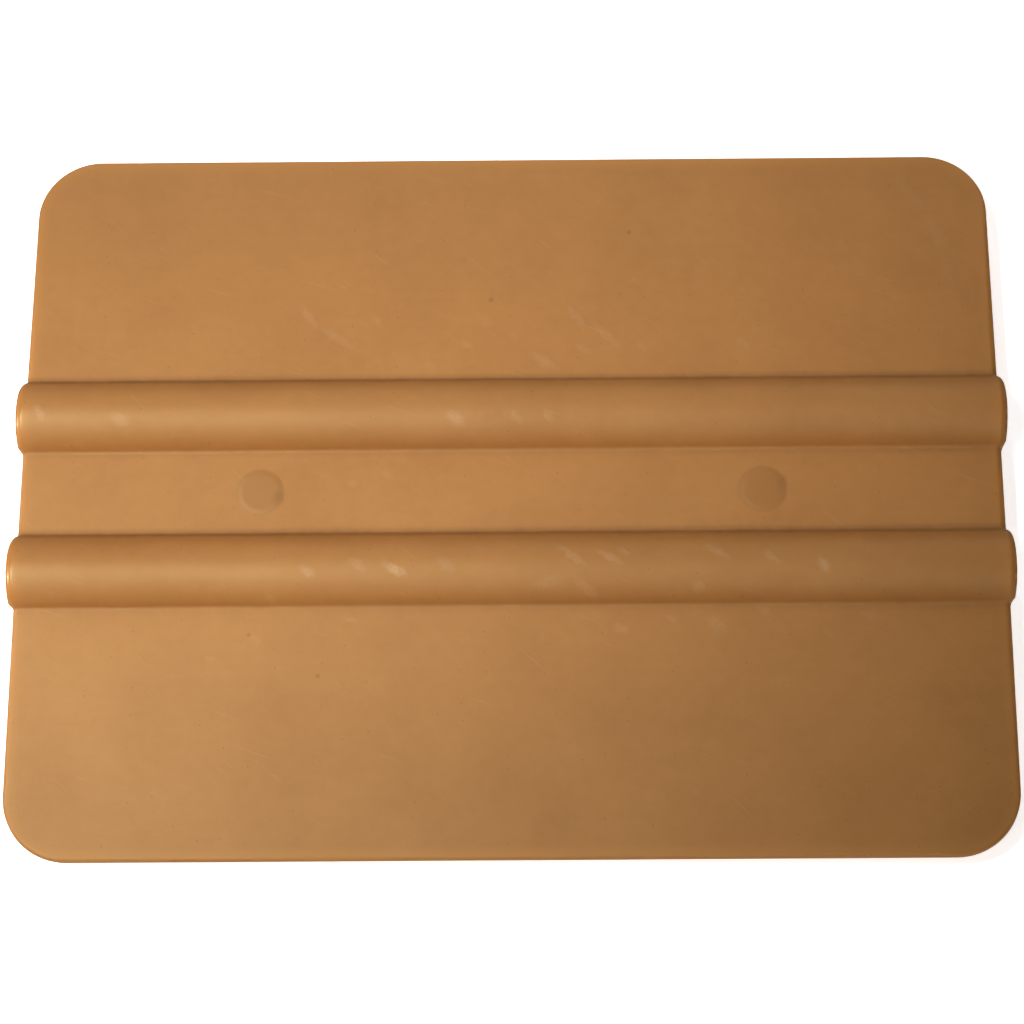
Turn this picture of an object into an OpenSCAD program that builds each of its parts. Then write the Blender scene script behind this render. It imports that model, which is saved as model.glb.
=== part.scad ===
// Hand squeegee card for laying vinyl film and transfer tape.
// One stiff moulding: two tapered blades, two full-round rib beads and the web between them.
// X runs along the ribs, Y from the lower to the upper working edge, Z out of the front face.
// The card lies on the crowns of its back ribs, which touch Z = 0.

/* [Card] */
// Length of each working edge side to side, mm
card_w = 101.6; // [80:0.1:160]
// Distance from the lower to the upper working edge, mm
card_d = 76.2; // [60:0.1:110]
// Radius of the four corners seen from the front, mm
corner_r = 6.6; // [3:0.1:12]
// Thickness of the web and of each blade where it meets a rib, mm
web_t = 3.2; // [2.4:0.1:4.4]
// Thickness of a blade at its working edge, mm
edge_t = 1.3; // [0.9:0.1:2.2]
// Radius that breaks the two corners of a working edge, mm
nose_r = 0.35; // [0.1:0.05:0.4]

/* [Ribs] */
// Diameter of a rib bead, which is also the overall thickness, mm
rib_d = 8.4; // [6.4:0.1:9.0]
// Distance between the two rib centre lines, mm
rib_pitch = 16.8; // [14:0.1:24]
// Radius of the blend at a rib's foot, mm
foot_r = 0.4; // [0.3:0.1:1.4]
// How far each rib end stands past the side of the card, mm
rib_end = 0.5; // [0.1:0.1:0.8]

/* [Ejector pads] */
// Diameter of the round pad left by an ejector pin, mm
pad_d = 5.1; // [3:0.1:6]
// Distance between the centres of the two pads, mm
pad_pitch = 51.8; // [30:0.1:70]
// How far a pad stands proud of the web, mm
pad_h = 0.1; // [0.05:0.05:0.4]

/* [Hidden] */
$fn = 96;
nose_steps = 6;                                      // facets in each broken edge corner
bead_r = rib_d / 2;
mid_z = bead_r;                                      // height of the card's middle plane
blend_z = web_t / 2 + foot_r;                        // centre of a foot blend, above the middle plane
foot_y = sqrt((bead_r + foot_r) ^ 2 - blend_z ^ 2);  // half width of a rib with its blends
blade_y = rib_pitch / 2 + foot_y;                    // where a blade starts
edge_y = card_d / 2;                                 // where a blade ends

// Extrudes a section drawn in Y and Z along X, centred on the card and on its middle plane.
module along_card(length) {
    translate([-length / 2, 0, mid_z])
        rotate([90, 0, 90])
            linear_extrude(length)
                children();
}

// Outline of the card from the front, with its four round corners.
module outline() {
    square([card_w - 2 * corner_r, card_d], center = true);
    square([card_w, card_d - 2 * corner_r], center = true);
    for (x = [-1, 1], y = [-1, 1])
        translate([x * (card_w / 2 - corner_r), y * (card_d / 2 - corner_r)])
            circle(corner_r);
}

// Points along an arc from angle a0 to angle a1 about (cy, cz).
function arc(cy, cz, r, a0, a1) =
    [for (i = [0:nose_steps])
        let (a = a0 + (a1 - a0) * i / nose_steps)
        [cy + r * cos(a), cz + r * sin(a)]];

// Section of the upper blade: full thickness at the rib, thin at the working edge.
module blade_section() {
    polygon(concat(
        [[blade_y, web_t / 2], [blade_y, -web_t / 2]],
        arc(edge_y - nose_r, -edge_t / 2 + nose_r, nose_r, -90, 0),
        arc(edge_y - nose_r, edge_t / 2 - nose_r, nose_r, 0, 90)));
}

// The upper blade, cut to the card's rounded outline.
module blade() {
    intersection() {
        along_card(card_w) blade_section();
        linear_extrude(rib_d) outline();
    }
}

// One quarter of the blend between a bead and the flat face beside it.
module foot_quarter() {
    difference() {
        polygon([[0, 0], [foot_y, 0], [foot_y, blend_z]]);
        translate([foot_y, blend_z]) circle(foot_r);
    }
}

// Section of a rib: a round bead with a blend into each face on both sides.
module rib_section() {
    circle(bead_r);
    for (y = [0, 1], z = [0, 1])
        mirror([y, 0]) mirror([0, z]) foot_quarter();
}

// A rib, with the short bevelled ends of its bead past the sides of the card.
module rib() {
    along_card(card_w) rib_section();
    for (x = [-1, 1])
        translate([x * card_w / 2, 0, mid_z])
            rotate([0, x * 90, 0])
                cylinder(h = rib_end, r1 = bead_r, r2 = bead_r - rib_end);
}

// A round pad on the front of the web.
module ejector_pad() {
    translate([0, 0, mid_z + web_t / 2])
        cylinder(h = pad_h, d = pad_d);
}

module upper_blade() {
    color("peru") blade();
}

module lower_blade() {
    color("peru") mirror([0, 1, 0]) blade();
}

module upper_rib() {
    color("peru") translate([0, rib_pitch / 2, 0]) rib();
}

module lower_rib() {
    color("peru") translate([0, -rib_pitch / 2, 0]) rib();
}

module centre_web() {
    web_d = rib_pitch - 2 * foot_y;
    color("peru")
        along_card(card_w)
            square([web_d, web_t], center = true);
}

module left_ejector_pad() {
    color("peru") translate([-pad_pitch / 2, 0, 0]) ejector_pad();
}

module right_ejector_pad() {
    color("peru") translate([pad_pitch / 2, 0, 0]) ejector_pad();
}

upper_blade();
upper_rib();
centre_web();
lower_rib();
lower_blade();
left_ejector_pad();
right_ejector_pad();
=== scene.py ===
# The looks of a stiff hand squeegee card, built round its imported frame.
import math

import bmesh
import bpy
from mathutils import Matrix, Vector


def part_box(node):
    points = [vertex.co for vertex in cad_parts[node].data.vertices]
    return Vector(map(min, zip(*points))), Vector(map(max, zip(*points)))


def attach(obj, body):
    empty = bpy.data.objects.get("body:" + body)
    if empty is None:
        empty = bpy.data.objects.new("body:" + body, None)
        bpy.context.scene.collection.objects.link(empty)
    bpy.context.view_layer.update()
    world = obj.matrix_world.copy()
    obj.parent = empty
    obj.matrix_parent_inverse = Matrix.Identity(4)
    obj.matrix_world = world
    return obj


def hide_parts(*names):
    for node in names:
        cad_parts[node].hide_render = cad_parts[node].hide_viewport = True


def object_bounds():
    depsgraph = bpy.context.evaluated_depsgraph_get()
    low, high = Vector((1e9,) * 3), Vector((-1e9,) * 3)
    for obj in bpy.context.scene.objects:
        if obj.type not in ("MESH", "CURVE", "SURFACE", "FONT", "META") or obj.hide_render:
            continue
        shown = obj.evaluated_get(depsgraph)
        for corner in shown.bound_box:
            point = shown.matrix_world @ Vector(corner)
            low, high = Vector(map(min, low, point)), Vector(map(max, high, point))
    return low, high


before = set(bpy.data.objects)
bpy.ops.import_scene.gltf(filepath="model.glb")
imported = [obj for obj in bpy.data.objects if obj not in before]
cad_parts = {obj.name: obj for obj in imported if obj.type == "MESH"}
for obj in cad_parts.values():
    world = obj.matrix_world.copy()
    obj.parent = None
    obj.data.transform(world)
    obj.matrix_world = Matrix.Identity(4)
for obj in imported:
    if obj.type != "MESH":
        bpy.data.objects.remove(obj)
cadLow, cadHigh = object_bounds()
mm = 0.001
mergeGap = 0.001 * mm                       # points nearer than this are one point


# A number in a node tree. An expression on it adds the Math nodes.
class Flow:
    def __init__(self, graph, socket):
        self.graph, self.socket = graph, socket

    def math(self, operation, *others):
        settings = {"operation": operation}
        made = self.graph.node("ShaderNodeMath", settings, dict(enumerate((self, *others))))
        return Flow(self.graph, made.outputs[0])

    def __add__(self, other):
        return self.math("ADD", other)

    def __sub__(self, other):
        return self.math("SUBTRACT", other)

    def __mul__(self, other):
        return self.math("MULTIPLY", other)

    def __truediv__(self, other):
        return self.math("DIVIDE", other)

    def __pow__(self, other):
        return self.math("POWER", other)

    def __rsub__(self, other):
        return (self * -1) + other

    __radd__, __rmul__ = __add__, __mul__

    def above(self, other):
        return self.math("GREATER_THAN", other)

    def below(self, other):
        return self.math("LESS_THAN", other)

    def least(self, other):
        return self.math("MINIMUM", other)

    def most(self, other):
        return self.math("MAXIMUM", other)

    def sin(self):
        return self.math("SINE")

    def cos(self):
        return self.math("COSINE")

    def root(self):
        return self.math("SQRT")

    def size(self):
        return self.math("ABSOLUTE")

    def sign(self):
        return self.math("SIGN")

    # low to high becomes 0 to top, flat outside, straight or with eased ends
    def ramp(self, low, high, top=1.0, ends="LINEAR"):
        return self.graph.flow("ShaderNodeMapRange", {"interpolation_type": ends}, {
            "Value": self, "From Min": low, "From Max": high, "To Max": top})

    def ease(self, low, high, top=1.0):
        return self.ramp(low, high, top, "SMOOTHSTEP")


# A node tree and the one way that nodes are added to it.
class Graph:
    def __init__(self, tree):
        self.tree = tree
        tree.nodes.clear()

    def node(self, kind, settings=None, inputs=None):
        made = self.tree.nodes.new(kind)
        for name, value in (settings or {}).items():
            setattr(made, name, value)
        for name, value in (inputs or {}).items():
            self.feed(made.inputs[name], value)
        return made

    def feed(self, socket, value):
        if isinstance(value, Flow):
            value = value.socket
        if isinstance(value, bpy.types.NodeSocket):
            self.tree.links.new(value, socket)
        else:
            socket.default_value = value

    def flow(self, kind, settings=None, inputs=None, output=0):
        return Flow(self, self.node(kind, settings, inputs).outputs[output])

    def split(self, vector):
        parts = self.node("ShaderNodeSeparateXYZ", None, {0: vector}).outputs
        return [Flow(self, part) for part in parts]

    def join(self, x, y, z):
        return self.node("ShaderNodeCombineXYZ", None, {0: x, 1: y, 2: z}).outputs[0]

    def blendColour(self, share, first, second):
        inputs = {0: share, 6: first, 7: second}
        return self.node("ShaderNodeMix", {"data_type": "RGBA"}, inputs).outputs[2]

    def vectors(self, operation, *values):
        settings = {"operation": operation}
        return self.node("ShaderNodeVectorMath", settings, dict(enumerate(values))).outputs[0]


# Sizes, most of them read from the frame.
bladeLow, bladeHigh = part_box("upper_blade")
ribLow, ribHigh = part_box("upper_rib")
webLow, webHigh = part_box("centre_web")
padLow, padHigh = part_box("right_ejector_pad")

card = {
    "halfWidth": bladeHigh.x,               # middle to each side
    "halfDepth": bladeHigh.y,               # middle to each working edge
    "middle": (cadLow.z + cadHigh.z) / 2,   # height of the middle plane
    "halfWeb": (webHigh.z - webLow.z) / 2,  # half the thickness beside a rib
    "halfEdge": 0.65 * mm,                  # half the thickness at a working edge
    "corner": 6.6 * mm,                     # corner radius from the front
    "sideRound": 0.7 * mm,                  # radius along the sides
    "noseRound": 0.35 * mm,                 # radius along the working edges
    "draft": 0.03 * mm,                     # slope of the rim from the parting line
    "hold": 0.3 * mm,                       # flat strip that keeps a face's shading flat
}
rib = {
    "centre": (ribLow.y + ribHigh.y) / 2,   # middle of the card to the rib's centre line
    "bead": (ribHigh.z - ribLow.z) / 2,     # radius of the bead
    "footReach": (ribHigh.y - ribLow.y) / 2,    # centre line to the outer end of a foot
    "reach": ribHigh.x,                     # middle to the end of the bead
    "endRound": 0.8 * mm,                   # radius round the end of the bead
}
# radius of the foot blend, which touches both the bead and the flat
rib["foot"] = (rib["footReach"] ** 2 + card["halfWeb"] ** 2 - rib["bead"] ** 2) / (
    2 * (rib["bead"] - card["halfWeb"]))
pad = {
    "centre": (padLow.x + padHigh.x) / 2,   # middle of the card to the pad's middle
    "radius": (padHigh.x - padLow.x) / 2,
    "base": padLow.z,
    "height": padHigh.z - padLow.z,
    "rim": 0.80 * mm,                       # width of the slope round its face
    "face": 0.58,                           # the face's height, as a share of the pad's
    "tip": 0.06,                            # how much lower the face is at the right, as a share
    "dimple": 0.035 * mm,                   # depth of the nick on the right
    "nickX": 2.1 * mm,                      # place of the nick from the pad's middle
    "nickReach": 0.28,                      # how far the nick spreads, as a share of the pad squared
}
nickY = {"left": -0.5 * mm, "right": 0.75 * mm}     # the nick's place along Y on each pad
steps = {"round": 10, "bead": 20, "foot": 8, "corner": 18, "padRings": 10, "padRim": 8, "padTurns": 72}

bladeStart = rib["centre"] + rib["footReach"]
slope = (card["halfWeb"] - card["halfEdge"]) / (card["halfDepth"] - card["noseRound"] - bladeStart)
seam = rib["footReach"] + card["hold"]      # rib centre to the joint with its neighbour
seamDrop = slope * card["hold"]             # how much thinner the blade is at that joint


# Starts a Geometry Nodes tree with an input for each size, and gives those inputs back.
def shapeTree(name, sizes):
    tree = bpy.data.node_groups.new(name, "GeometryNodeTree")
    for key, value in sizes.items():
        size = tree.interface.new_socket(key, in_out="INPUT", socket_type="NodeSocketFloat")
        size.default_value = value
    tree.interface.new_socket("material", in_out="INPUT", socket_type="NodeSocketMaterial")
    tree.interface.new_socket("shape", in_out="OUTPUT", socket_type="NodeSocketGeometry")
    graph = Graph(tree)
    given = graph.node("NodeGroupInput")
    graph.material = given.outputs["material"]
    return graph, {key: Flow(graph, given.outputs[key]) for key in sizes}


# A flat grid of across by along points, a unit apart and centred. A formula then bends it. Its
# rows and columns are whole numbers, so a test for one of them stands half a step away.
def flatGrid(graph, across, along):
    made = graph.node("GeometryNodeMeshGrid", None, {
        "Size X": across - 1.0, "Size Y": along - 1.0, "Vertices X": across, "Vertices Y": along})
    return made.outputs["Mesh"], graph.split(graph.node("GeometryNodeInputPosition").outputs[0])


def bend(graph, mesh, x, y, z):
    return graph.node("GeometryNodeSetPosition", None,
                      {"Geometry": mesh, "Position": graph.join(x, y, z)}).outputs[0]


# Adds the back as a mirror of the front where asked, closes the shape and moves it into place.
def closeShape(graph, halves, place, mirrored=True):
    joined = graph.node("GeometryNodeJoinGeometry")
    for half in halves:
        graph.tree.links.new(half, joined.inputs[0])
        if mirrored:
            back = graph.node("GeometryNodeTransform", None, {"Geometry": half, "Scale": (1, 1, -1)})
            graph.tree.links.new(back.outputs[0], joined.inputs[0])
    merged = graph.node("GeometryNodeMergeByDistance", None, {
        "Geometry": joined.outputs[0], "Distance": mergeGap})
    moved = graph.node("GeometryNodeTransform", None, {
        "Geometry": merged.outputs[0], "Translation": place})
    real = graph.node("GeometryNodeRealizeInstances", None, {"Geometry": moved.outputs[0]})
    painted = graph.node("GeometryNodeSetMaterial", None, {
        "Geometry": real.outputs[0], "Material": graph.material})
    graph.node("NodeGroupOutput", None, {0: painted.outputs[0]})
    return graph.tree


# Columns run from the middle of the card to its rim: the flat, the round and the wall down to
# the parting line. Returns how far the round has turned and the steps that stand for it.
def rimTurn(column):
    last = steps["round"]
    turn = column.ramp(0, last) * (math.pi / 2)
    return turn, column.above(last + 0.5)


sideColumns = steps["round"] + 4            # middle, hold line, round, parting line


# Half of a strip across the card: its columns' x, out to the given wall by the given round.
def sideX(s, column, wall, radius):
    turn, rim = rimTurn(column - 2)
    start = wall - s["draft"] - radius
    x = start + radius * turn.sin() + rim * s["draft"] - column.below(1.5) * s["hold"]
    return x * column.above(0.5), turn, rim


def buildRibTree():
    names = ("halfWidth", "halfWeb", "sideRound", "draft", "hold", "middle")
    graph, s = shapeTree("ribShape", {**{n: card[n] for n in names}, **rib, "seam": seam,
                                      "seamDrop": seamDrop, "bladeSide": 1.0})
    beadSteps, footSteps = steps["bead"], steps["foot"]
    rows = beadSteps + footSteps + 3
    mesh, (u, v, _) = flatGrid(graph, 2 * sideColumns - 1, 2 * rows - 1)
    column, row = u.size(), v.size()
    intoFoot = row.ramp(beadSteps, beadSteps + footSteps)
    wall = s["reach"] + (s["halfWidth"] - s["reach"]) * intoFoot
    x, turn, rim = sideX(s, column, wall, s["endRound"] + (s["sideRound"] - s["endRound"]) * intoFoot)
    # the round takes the same turn off the bead, the foot and the flat
    bead = s["bead"] - s["endRound"] * (1 - turn.cos())
    flat = s["halfWeb"] - s["sideRound"] * (1 - turn.cos())
    lean = ((flat + s["foot"]) / (bead + s["foot"])).math("ARCCOSINE")
    crown = lean * row.ramp(0, beadSteps)
    onBead, onFoot = row.below(beadSteps + 0.5), row.below(beadSteps + footSteps + 0.5)
    fillet = lean * (1 - intoFoot)
    footY = (bead + s["foot"]) * lean.sin() - s["foot"] * fillet.sin()
    footZ = flat + s["foot"] * (1 - fillet.cos())
    drop = (v.sign() * s["bladeSide"]).most(0) * s["seamDrop"]
    y = onBead * bead * crown.sin() + (onFoot - onBead) * footY + (1 - onFoot) * s["seam"]
    z = onBead * bead * crown.cos() + (onFoot - onBead) * footZ + (1 - onFoot) * (flat - drop)
    z = z * (1 - rim) * row.below(rows - 1.5)
    mesh = bend(graph, mesh, x * u.sign(), y * v.sign(), z)
    return closeShape(graph, [mesh], graph.join(0, s["bladeSide"] * s["centre"], s["middle"]))


def buildWebTree():
    names = ("halfWidth", "halfWeb", "sideRound", "draft", "hold", "middle")
    graph, s = shapeTree("webShape", {**{n: card[n] for n in names}, "halfDepth": rib["centre"] - seam})
    mesh, (u, v, _) = flatGrid(graph, 2 * sideColumns - 1, 5)
    row = v.size()
    x, turn, rim = sideX(s, u.size(), s["halfWidth"], s["sideRound"])
    flat = s["halfWeb"] - s["sideRound"] * (1 - turn.cos())
    z = flat * (1 - rim) * row.below(1.5)
    mesh = bend(graph, mesh, x * u.sign(), row.least(1) * s["halfDepth"] * v.sign(), z)
    return closeShape(graph, [mesh], graph.join(0, 0, s["middle"]))


def buildBladeTree():
    sizes = {**card, "start": rib["centre"] + seam, "startHalf": card["halfWeb"] - seamDrop,
             "bladeSide": 1.0}
    graph, s = shapeTree("bladeShape", sizes)
    turns = steps["corner"]
    taper = (s["startHalf"] - s["halfEdge"]) / (s["halfDepth"] - s["noseRound"] - s["start"])

    # A point on the corner's arc (row 0 at the working edge, turns at the side), on the side at
    # the joint with the rib, or at the foot of that joint, inset from the card's outline.
    def place(row, inset):
        angle = (1 - row.ramp(0, turns)) * (math.pi / 2)
        onArc = row.below(turns + 0.5)
        radius = s["corner"] - inset
        x = s["halfWidth"] - s["corner"] + radius * angle.cos()
        y = onArc * (s["halfDepth"] - s["corner"] + radius * angle.sin()) + (1 - onArc) * s["start"]
        z = (s["startHalf"] - taper * (y - s["start"])) * row.below(turns + 1.5)
        return x, y, z

    # the round gets smaller as the blade gets thinner
    def roundAt(row):
        angle = (1 - row.ramp(0, turns)) * (math.pi / 2)
        y = s["halfDepth"] - s["corner"] * (1 - angle.sin())
        share = (y - s["start"]) / (s["halfDepth"] - s["start"]) * row.below(turns + 0.5)
        return s["sideRound"] + (s["noseRound"] - s["sideRound"]) * share

    rimRows = turns + 3
    ring = steps["round"] + 3
    mesh, (u, v, _) = flatGrid(graph, ring, 2 * rimRows)
    column, row = u + (ring - 1) / 2, v.size() - 0.5
    turn, rim = rimTurn(column - 1)
    radius = roundAt(row)
    inset = (1 - rim) * s["draft"] + radius * (1 - turn.sin()) + column.below(0.5) * s["hold"]
    x, y, z = place(row, inset)
    z = (z - radius * (1 - turn.cos()) * row.below(turns + 1.5)) * (1 - rim)
    rimMesh = bend(graph, mesh, x * v.sign(), y, z)
    mesh, (u, v, _) = flatGrid(graph, 2, rimRows)
    row = v + (rimRows - 1) / 2
    x, y, z = place(row, s["draft"] + roundAt(row) + s["hold"])
    face = bend(graph, mesh, x * u.sign(), y, z)
    halves = []
    for half in (rimMesh, face):
        flipped = graph.node("GeometryNodeTransform", None, {
            "Geometry": half, "Scale": graph.join(1, s["bladeSide"], 1)})
        halves.append(flipped.outputs[0])
    return closeShape(graph, halves, graph.join(0, 0, s["middle"]))


def buildPadTree():
    graph, s = shapeTree("padShape", {**pad, "side": 1.0, "nickY": 0.0})
    rings, turns = steps["padRings"], steps["padTurns"]
    foot = rings + steps["padRim"]          # the ring where the slope ends, before the underside
    last = foot + 2
    mesh, (u, v, _) = flatGrid(graph, last + 1, turns + 1)
    ring, angle = u + last / 2, v * (2 * math.pi / turns)
    fall = ring.ramp(rings, foot)
    reach = (s["radius"] - s["rim"]) * ring.ramp(0, rings) + s["rim"] * fall
    reach = reach * ring.below(last - 0.5)
    x, y = reach * angle.cos(), reach * angle.sin()
    # the face tips down to the right and has a nick there, narrower along X
    across, up = (x - s["nickX"]) / s["radius"], (y - s["nickY"]) / s["radius"]
    dent = s["dimple"] * (1 - (across * across * 3 + up * up).ease(0, s["nickReach"]))
    z = s["height"] * (s["face"] - s["tip"] * x / s["radius"]) - dent
    # the slope eases down to a step of 4% at the outline
    z = z * (0.52 + 0.48 * (fall * math.pi).cos()) * ring.below(foot + 0.5)
    mesh = bend(graph, mesh, x, y, z)
    place = graph.join(s["side"] * s["centre"], 0, s["base"])
    return closeShape(graph, [mesh], place, mirrored=False)


sharpFrom = math.radians(38)                # edges that turn more than this stay sharp


# Runs a shape tree once and keeps its result as a plain closed mesh.
def makePiece(name, tree, material, **sizes):
    obj = bpy.data.objects.new(name + "Maker", bpy.data.meshes.new(name + "Maker"))
    bpy.context.scene.collection.objects.link(obj)
    modifier = obj.modifiers.new("shape", "NODES")
    modifier.node_group = tree
    given = {**sizes, "material": material}
    for item in tree.interface.items_tree:
        if item.in_out == "INPUT" and item.name in given:
            modifier[item.identifier] = given[item.name]
    depsgraph = bpy.context.evaluated_depsgraph_get()
    mesh = bpy.data.meshes.new_from_object(obj.evaluated_get(depsgraph))
    bpy.data.objects.remove(obj)
    shell = bmesh.new()
    shell.from_mesh(mesh)
    bmesh.ops.remove_doubles(shell, verts=shell.verts, dist=mergeGap)
    bmesh.ops.dissolve_degenerate(shell, edges=shell.edges, dist=mergeGap / 2)
    bmesh.ops.recalc_face_normals(shell, faces=shell.faces)
    shell.to_mesh(mesh)
    shell.free()
    mesh.shade_smooth()
    mesh.set_sharp_from_angle(angle=sharpFrom)
    mesh.name = name
    piece = bpy.data.objects.new(name, mesh)
    bpy.context.scene.collection.objects.link(piece)
    return piece


# Everything that marks the plastic, in mm on the card: X to the right, Y up, seen from the front.
nylon = {
    "colour": (0.45, 0.178, 0.041, 1),
    "paintedGlow": (0.50, 0.195, 0.040, 1),        # painted glow where thin edges let light through
    "deep": (0.355, 0.135, 0.028, 1),       # denser streaks and clouds
    "rubbed": (0.66, 0.42, 0.22, 1),        # whitened by rubbing
    "shadeAndGrime": (0.15, 0.048, 0.012, 1),       # specks and dust, and painted shade in the creases and nicks
    "gloss": (1.0, 0.93, 0.56, 1),          # tint of the reflections
    "roughness": 0.58,
    "cloudSize": 9, "cloudShare": 0.35,     # what each adds to the deeper colour
    "patchSize": 1.4, "patchShare": 0.25,
    "streakSize": 1.6, "streakShare": 0.10,
    "streakStretch": 0.06,                  # smaller is longer
    "grainSize": 0.30, "grainDepth": 0.0035,
    "waveSize": 2.6, "waveDepth": 0.010,
    "scuffSpread": 1.8,                     # widens the rubbed marks for their soft outlines
    "wobblePerMm": 1.3, "wobble": (0.9, 0.9, 0),        # breaks up those outlines
    "hairline": 0.34,                       # width of the fine lines
    "hairlineTurns": ((-0.72, 18), (-0.35, 24)),    # each direction's angle and stretch
    "hairlineShare": 0.07,
    "creaseIn": 0.32,                       # from a foot's outer end in to the middle of its painted shade
    "creaseWidth": 0.85, "creaseShade": 0.42,
    "lowerCreaseOut": 0.2, "lowerCreaseShare": 0.3,     # the painted shade in the other foot
    "nickShade": 0.26, "speckDirt": 0.4,
    "dustPerMm": 0.42, "dustDirt": 0.35,
    "paintedGlowReach": 1.7,                        # how far in from the outline the painted glow of light through the edges reaches
    "polish": 0.3,                          # how much smoother the handled ends are
}

# Rubbed marks on the front, each from one end to the other, with its half width and strength.
scuffs = [
    ((-22.4, 20.9), (-20.4, 18.2), 0.38, 0.55), ((-20.8, 18.8), (-15.6, 15.3), 0.42, 0.45),
    ((-14.6, 19.4), (-13.8, 18.6), 0.35, 0.40), ((-3.8, 19.9), (-2.1, 18.4), 0.45, 0.30),
    ((-5.2, 16.6), (-4.2, 16.0), 0.30, 0.55), ((-9.0, 14.2), (-8.2, 13.6), 0.40, 0.35),
    ((0.0, 17.7), (0.4, 17.1), 0.35, 0.30), ((6.0, 20.5), (7.8, 17.8), 0.36, 0.50),
    ((8.4, 18.7), (11.4, 15.8), 0.40, 0.45), ((6.5, 16.3), (8.4, 15.2), 0.32, 0.35),
    ((2.0, 15.2), (4.8, 13.3), 0.42, 0.55), ((13.4, 16.1), (14.1, 15.5), 0.30, 0.35),
    ((24.0, 16.5), (24.6, 15.8), 0.40, 0.30), ((12.9, 23.8), (13.4, 23.2), 0.30, 0.30),
    ((-40.9, 7.4), (-39.9, 7.2), 0.50, 0.40), ((-6.3, 7.6), (-5.2, 6.6), 0.50, 0.60),
    ((0.2, 7.6), (0.8, 6.9), 0.35, 0.40), ((3.7, 7.6), (4.1, 7.0), 0.35, 0.30),
    ((-48.9, 8.5), (-48.4, 7.5), 0.40, 0.70), ((-16.9, 0.9), (-15.9, 0.7), 0.25, 0.35),
    ((-13.3, 2.1), (-12.3, 1.6), 0.30, 0.30), ((-21.2, -9.0), (-20.1, -9.6), 0.38, 0.60),
    ((-12.7, -8.7), (-10.8, -9.7), 0.42, 0.95), ((-16.0, -8.3), (-15.0, -8.9), 0.45, 0.40),
    ((-7.3, -8.2), (-5.8, -9.0), 0.50, 0.35), ((-24.6, -11.6), (-23.9, -11.9), 0.30, 0.45),
    ((4.6, -6.6), (7.6, -8.8), 0.32, 0.50), ((8.8, -7.3), (11.2, -8.7), 0.34, 0.50),
    ((11.1, -7.1), (11.8, -7.6), 0.30, 0.40), ((19.6, -6.8), (22.2, -8.2), 0.34, 0.40),
    ((25.8, -7.6), (27.2, -8.8), 0.34, 0.45), ((31.3, -8.4), (32.0, -9.5), 0.42, 0.70),
    ((1.8, -10.8), (5.2, -10.3), 0.40, 0.35), ((6.7, -10.4), (8.7, -11.7), 0.36, 0.40),
    ((18.6, -10.8), (19.4, -11.2), 0.40, 0.40), ((-16.8, -13.5), (-15.8, -13.7), 0.30, 0.50),
    ((10.7, -14.6), (11.6, -15.0), 0.40, 0.60), ((15.8, -13.6), (16.6, -14.0), 0.35, 0.40),
    ((20.2, -14.1), (21.4, -14.8), 0.55, 0.60), ((25.2, -12.6), (26.0, -13.2), 0.40, 0.35),
    ((-26.3, -15.5), (-25.6, -15.9), 0.30, 0.35), ((-30.8, -17.5), (-30.2, -17.8), 0.30, 0.35),
    ((35.7, -13.3), (36.5, -13.8), 0.35, 0.40), ((41.2, 35.2), (44.4, 31.4), 0.60, 0.28),
    ((44.2, 31.8), (46.2, 26.0), 0.60, 0.30), ((45.8, 27.0), (46.4, 21.4), 0.60, 0.22),
]
specks = [((-2.2, 21.4), 0.22), ((12.5, 29.2), 0.16), ((-19.5, -19.5), 0.18), ((-26.6, -15.2), 0.16)]


def noiseAt(graph, place, size, detail=2.0, roughness=0.5, output=0):
    return graph.flow("ShaderNodeTexNoise", None, {
        "Vector": place, "Scale": 1 / size, "Detail": detail, "Roughness": roughness}, output)


def strongest(marks):
    result = marks[0]
    for mark in marks[1:]:
        result = result.most(mark)
    return result


# A soft spindle between two points: strength in its middle and 0 at its outline.
def spindle(graph, flat, start, end, halfWidth, strength):
    halfWidth = halfWidth * nylon["scuffSpread"]
    along, across = end[0] - start[0], end[1] - start[1]
    reach = math.hypot(along, across) / 2 + halfWidth
    local = graph.node("ShaderNodeMapping", {"vector_type": "TEXTURE"}, {
        "Vector": flat, "Location": ((start[0] + end[0]) / 2, (start[1] + end[1]) / 2, 0),
        "Rotation": (0, 0, math.atan2(across, along)), "Scale": (reach, halfWidth, 1)}).outputs[0]
    out = graph.flow("ShaderNodeVectorMath", {"operation": "LENGTH"}, {0: local}, "Value")
    return out.ease(1, 0.2, strength)


# All the rubbed marks, before the grain breaks up their strength.
def rubbedMarks(graph, place, x, y):
    noise = noiseAt(graph, place, 1 / nylon["wobblePerMm"], output="Color")
    wobble = graph.vectors("SUBTRACT", noise, (0.5, 0.5, 0.5))
    flat = graph.vectors("MULTIPLY_ADD", wobble, nylon["wobble"], graph.join(x, y, 0))
    return strongest([spindle(graph, flat, *scuff) for scuff in scuffs])


# Faint scratches from wiping, in two directions.
def hairlinesAt(graph, place):
    lines = []
    for turn, stretch in nylon["hairlineTurns"]:
        turned = graph.node("ShaderNodeMapping", {"vector_type": "TEXTURE"}, {
            "Vector": place, "Rotation": (0, 0, turn), "Scale": (stretch, 1, 2.5)}).outputs[0]
        lines.append(noiseAt(graph, turned, nylon["hairline"], 2, 0.4).ramp(0.66, 0.74))
    return strongest(lines)
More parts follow.
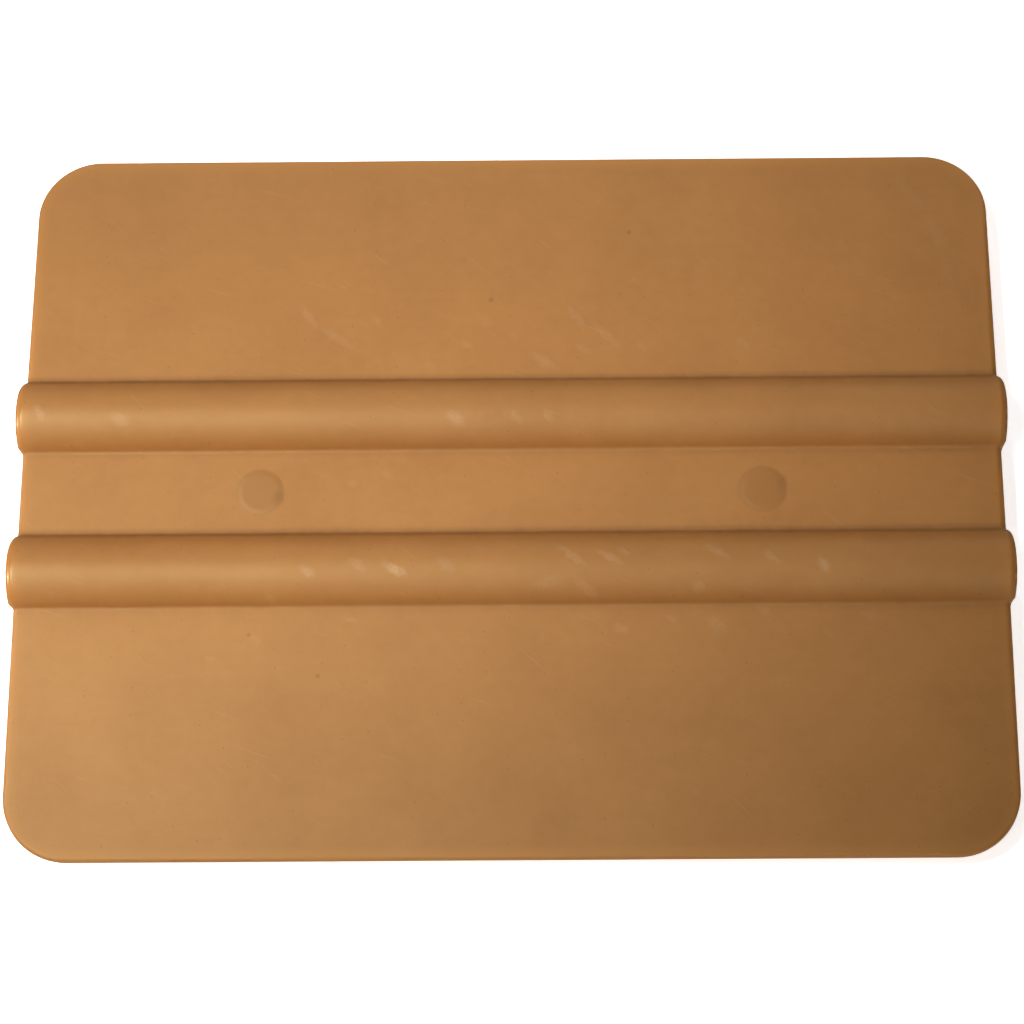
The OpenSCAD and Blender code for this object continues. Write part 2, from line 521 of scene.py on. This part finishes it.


# The ejector marks: the whole pad, a ring just inside its outline for painted shade, and its nick, which
# gets painted shade too.
def padMarks(x, y, z):
    padX = x.size() - pad["centre"] / mm
    radius = pad["radius"] / mm
    reach = (padX ** 2 + y ** 2).root()
    near = z.above(0) * z.below(card["halfWeb"] / mm + 0.5)
    whole = near * (1 - reach.ease(radius - 0.15, radius + 0.05))
    ring = near * (1 - (reach - radius + 0.15).size().ease(0, 0.4))
    middle = (nickY["right"] + nickY["left"]) / 2 / mm
    apart = (nickY["right"] - nickY["left"]) / 2 / mm
    fromNickX = x.sign() * padX - pad["nickX"] / mm
    fromNickY = y - middle - x.sign() * apart
    nick = near * (1 - (fromNickX ** 2 * 3 + fromNickY ** 2).root().ease(0.2, 1.2))
    return whole, ring, nick


# Painted shade in the feet of the ribs, deeper in the foot on the +Y side, and in the nicks; a few dark
# specks on the front, and dust.
def dirtAndShadeAt(graph, place, x, y, front, patches, nick):
    fromRib = y - y.sign() * (rib["centre"] / mm)
    creaseAt = rib["footReach"] / mm - nylon["creaseIn"]
    upper = 1 - (fromRib - creaseAt).size().ease(0, nylon["creaseWidth"])
    lower = 1 - (fromRib + creaseAt + nylon["lowerCreaseOut"]).size().ease(0, nylon["creaseWidth"])
    # painted shade in the feet of the ribs, deeper in the foot on the +Y side
    paintedCreaseShade = (upper + lower * nylon["lowerCreaseShare"]) * (0.55 + patches * 0.9)
    dirtAndShade = [paintedCreaseShade * nylon["creaseShade"], nick * nylon["nickShade"]]
    for (spotX, spotY), size in specks:
        gap = ((x - spotX) ** 2 + (y - spotY) ** 2).root()
        dirtAndShade.append((1 - gap.ease(size * 0.3, size * 2)) * nylon["speckDirt"] * front)
    dust = graph.node("ShaderNodeTexVoronoi", {"voronoi_dimensions": "2D"}, {
        "Vector": place, "Scale": nylon["dustPerMm"]})
    chance = graph.flow("ShaderNodeSeparateColor", None, {0: dust.outputs["Color"]})
    grains = 1 - Flow(graph, dust.outputs["Distance"]).ease(0.02, 0.05)
    dirtAndShade.append(grains * chance.above(0.86) * nylon["dustDirt"])
    return strongest(dirtAndShade)


# Distance in from the card's outline with its round corners, in mm.
def insetOf(x, y):
    corner = card["corner"] / mm
    across = x.size() - (card["halfWidth"] / mm - corner)
    up = y.size() - (card["halfDepth"] / mm - corner)
    outside = (across.most(0) ** 2 + up.most(0) ** 2).root()
    return corner - outside - across.most(up).least(0)


def makeNylon(name):
    material = bpy.data.materials.new(name)
    material.use_nodes = True
    graph = Graph(material.node_tree)
    coords = graph.node("ShaderNodeTexCoord").outputs["Object"]
    place = graph.node("ShaderNodeMapping", None, {
        "Vector": coords, "Location": (0, 0, -card["middle"] / mm),
        "Scale": (1 / mm, 1 / mm, 1 / mm)}).outputs[0]
    x, y, z = graph.split(place)
    front = z.above(0)

    # clouds in the colour and flow streaks along the card
    clouds = noiseAt(graph, place, nylon["cloudSize"], 3)
    patches = noiseAt(graph, place, nylon["patchSize"], 3, 0.6)
    stretched = graph.join(x * nylon["streakStretch"], y, z)
    streaks = noiseAt(graph, stretched, nylon["streakSize"], 3)
    grain = noiseAt(graph, place, nylon["grainSize"], 2, 0.6)
    waves = noiseAt(graph, place, nylon["waveSize"], 2)
    density = (clouds.ramp(0.36, 0.66, nylon["cloudShare"]) + patches.ramp(0.3, 0.7, nylon["patchShare"])
               + streaks.ramp(0.3, 0.7, nylon["streakShare"]))

    # rubbed marks, stronger towards the crown of a rib
    onBead = z.ramp(card["halfWeb"] / mm + 0.5, rib["bead"] / mm)
    rubbed = rubbedMarks(graph, place, x, y) * (0.25 + onBead * 0.22) * front
    rubbed = rubbed * (0.6 + grain.ramp(0.35, 0.65) * 0.5)

    # hairlines on both faces, in patches, but not on the polished ends
    worn = x.size().ease(rib["reach"] / mm - 1.3, rib["reach"] / mm - 0.2)
    hairlines = hairlinesAt(graph, place) * waves.ramp(0.42, 0.62) * (1 - worn)

    whole, ring, nick = padMarks(x, y, z)
    dirtAndShade = dirtAndShadeAt(graph, place, x, y, front, patches, nick)
    # painted glow: a warmer colour near the outline stands in for light coming through the thin edges
    glow = (1 - insetOf(x, y).ease(0, nylon["paintedGlowReach"])) * (0.5 + patches * 0.6)
    paler = (rubbed + hairlines * nylon["hairlineShare"]).least(1)

    colour = graph.blendColour(density, nylon["colour"], nylon["deep"])
    colour = graph.blendColour(glow, colour, nylon["paintedGlow"])
    # the pad a deeper tone, with painted shade in a ring just inside its outline
    colour = graph.blendColour(whole * 0.9 + ring * 0.1, colour, nylon["deep"])
    # dark specks and dust, with painted shade in the feet of the ribs and in the nicks
    colour = graph.blendColour(dirtAndShade, colour, nylon["shadeAndGrime"])
    colour = graph.blendColour(paler, colour, nylon["rubbed"])

    roughness = nylon["roughness"] + (patches - 0.5) * 0.10 + (clouds - 0.5) * 0.08
    roughness = roughness + rubbed * 0.10 - whole * 0.06 + dirtAndShade * 0.25 - worn * nylon["polish"]
    height = grain * nylon["grainDepth"] + waves * nylon["waveDepth"]
    bump = graph.node("ShaderNodeBump", None, {"Strength": 1.0, "Distance": mm, "Height": height})
    shader = graph.node("ShaderNodeBsdfPrincipled", None, {
        "Base Color": colour, "Roughness": roughness, "Normal": bump.outputs[0],
        "Specular IOR Level": 1.0, "Specular Tint": nylon["gloss"]})
    graph.node("ShaderNodeOutputMaterial", None, {"Surface": shader.outputs[0]})
    return material


goldNylon = makeNylon("goldNylon")
print("material ready,", len(goldNylon.node_tree.nodes), "nodes")

ribTree, webTree, bladeTree, padTree = buildRibTree(), buildWebTree(), buildBladeTree(), buildPadTree()
print("shape trees ready")
plan = {                                    # piece: its frame node, tree and sizes of its own
    "upperBlade": ("upper_blade", bladeTree, {"bladeSide": 1.0}),
    "upperRib": ("upper_rib", ribTree, {"bladeSide": 1.0}),
    "centreWeb": ("centre_web", webTree, {}),
    "lowerRib": ("lower_rib", ribTree, {"bladeSide": -1.0}),
    "lowerBlade": ("lower_blade", bladeTree, {"bladeSide": -1.0}),
    "leftPad": ("left_ejector_pad", padTree, {"side": -1.0, "nickY": nickY["left"]}),
    "rightPad": ("right_ejector_pad", padTree, {"side": 1.0, "nickY": nickY["right"]}),
}
for name, (node, tree, sizes) in plan.items():
    piece = makePiece(name, tree, goldNylon, **sizes)
    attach(piece, "root")
    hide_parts(node)
    print(name, len(piece.data.polygons), "faces")

view = {
    "lens": 91.9,               # mm on a 36 mm sensor
    "distance": 270.9 * mm,     # from the card's middle
    "tilt": math.radians(-18.12),
    "yaw": math.radians(-0.365),
    "roll": math.radians(0.406),
    "aside": (5.23 * mm, -1.71 * mm),
    "shift": -0.049,            # sideways, in widths of the frame
}


def makeCamera():
    data = bpy.data.cameras.new("camera")
    data.sensor_width, data.lens = 36, view["lens"]
    data.shift_x = view["shift"]
    data.clip_start, data.clip_end = 10 * mm, 10
    camera = bpy.data.objects.new("camera", data)
    bpy.context.scene.collection.objects.link(camera)
    turn = (Matrix.Rotation(view["roll"], 4, "Z") @ Matrix.Rotation(view["yaw"], 4, "Y")
            @ Matrix.Rotation(view["tilt"], 4, "X"))
    back = Matrix.Translation((*view["aside"], view["distance"]))
    camera.matrix_world = Matrix.Translation((0, 0, card["middle"])) @ turn.inverted() @ back
    bpy.context.scene.camera = camera


floorLook = {"across": 6, "shade": (0.9, 0.9, 0.9, 1), "roughness": 0.9, "glow": 0.7}


def makeFloor():
    bpy.ops.mesh.primitive_plane_add(size=floorLook["across"], location=(0, 0, cadLow.z))
    floor = bpy.context.object
    floor.name = "floor"
    material = bpy.data.materials.new("paleFloor")
    material.use_nodes = True
    graph = Graph(material.node_tree)
    shader = graph.node("ShaderNodeBsdfPrincipled", None, {
        "Base Color": floorLook["shade"], "Roughness": floorLook["roughness"],
        "Emission Color": (1, 1, 1, 1), "Emission Strength": floorLook["glow"]})
    graph.node("ShaderNodeOutputMaterial", None, {"Surface": shader.outputs[0]})
    floor.data.materials.append(material)
    floor.visible_glossy = False            # its glow stays out of the plastic's gloss


# Lamps are placed by angles, around from +X towards +Y and up from the floor, and aimed at a
# point of the floor in mm. One with a pool lights a soft circle of about that radius in mm, and
# the others light everything. A lamp's own size is in metres.
lampAway = 1.0
lamps = {
    "window": {"around": 180, "up": 65, "at": (-60, 50), "power": 80, "size": 0.24, "pool": 75},
    "key": {"around": 214, "up": 60, "at": (-60, 50), "power": 58, "size": 0.24, "pool": 75},
    "low": {"around": 195, "up": 64, "at": (-103, -80), "power": 42, "size": 0.24, "pool": 95},
    "front": {"around": 270, "up": 40, "at": (0, 12), "power": 40, "size": 0.3, "pool": 85},
    "back": {"around": 90, "up": 32, "at": (0, 0), "power": 1.1, "size": 0.35},
    "fill": {"around": 100, "up": 40, "at": (62, 52), "power": 22, "size": 0.24, "pool": 60},
    "glint": {"around": 185, "up": 12, "at": (-54, 0), "power": 160, "size": 0.06, "pool": 14},
}


def makeLamp(name, spec):
    data = bpy.data.lights.new(name, "SPOT" if "pool" in spec else "AREA")
    data.energy = spec["power"]
    lamp = bpy.data.objects.new(name, data)
    bpy.context.scene.collection.objects.link(lamp)
    around, up = math.radians(spec["around"]), math.radians(spec["up"])
    lamp.location = lampAway * Vector((
        math.cos(up) * math.cos(around), math.cos(up) * math.sin(around), math.sin(up)))
    aim = Vector((*spec["at"], 0)) * mm - lamp.location
    lamp.rotation_mode = "QUATERNION"
    lamp.rotation_quaternion = aim.to_track_quat("-Z", "Y")
    if "pool" in spec:
        data.shadow_soft_size = spec["size"] / 2
        data.spot_size = 2 * math.atan(spec["pool"] * mm / aim.length)
        data.spot_blend = 1.0
    else:
        data.shape, data.size = "DISK", spec["size"]


skyLight = 0.02                             # faint and even, from all round


def makeWorld():
    world = bpy.data.worlds.new("studio")
    world.use_nodes = True
    graph = Graph(world.node_tree)
    sky = graph.node("ShaderNodeBackground", None, {
        "Color": (1, 1, 1, 1), "Strength": skyLight})
    graph.node("ShaderNodeOutputWorld", None, {"Surface": sky.outputs[0]})
    bpy.context.scene.world = world


makeCamera()
makeFloor()
for name, spec in lamps.items():
    makeLamp(name, spec)
makeWorld()
bpy.context.scene.view_settings.view_transform = "Standard"
print("stage ready")
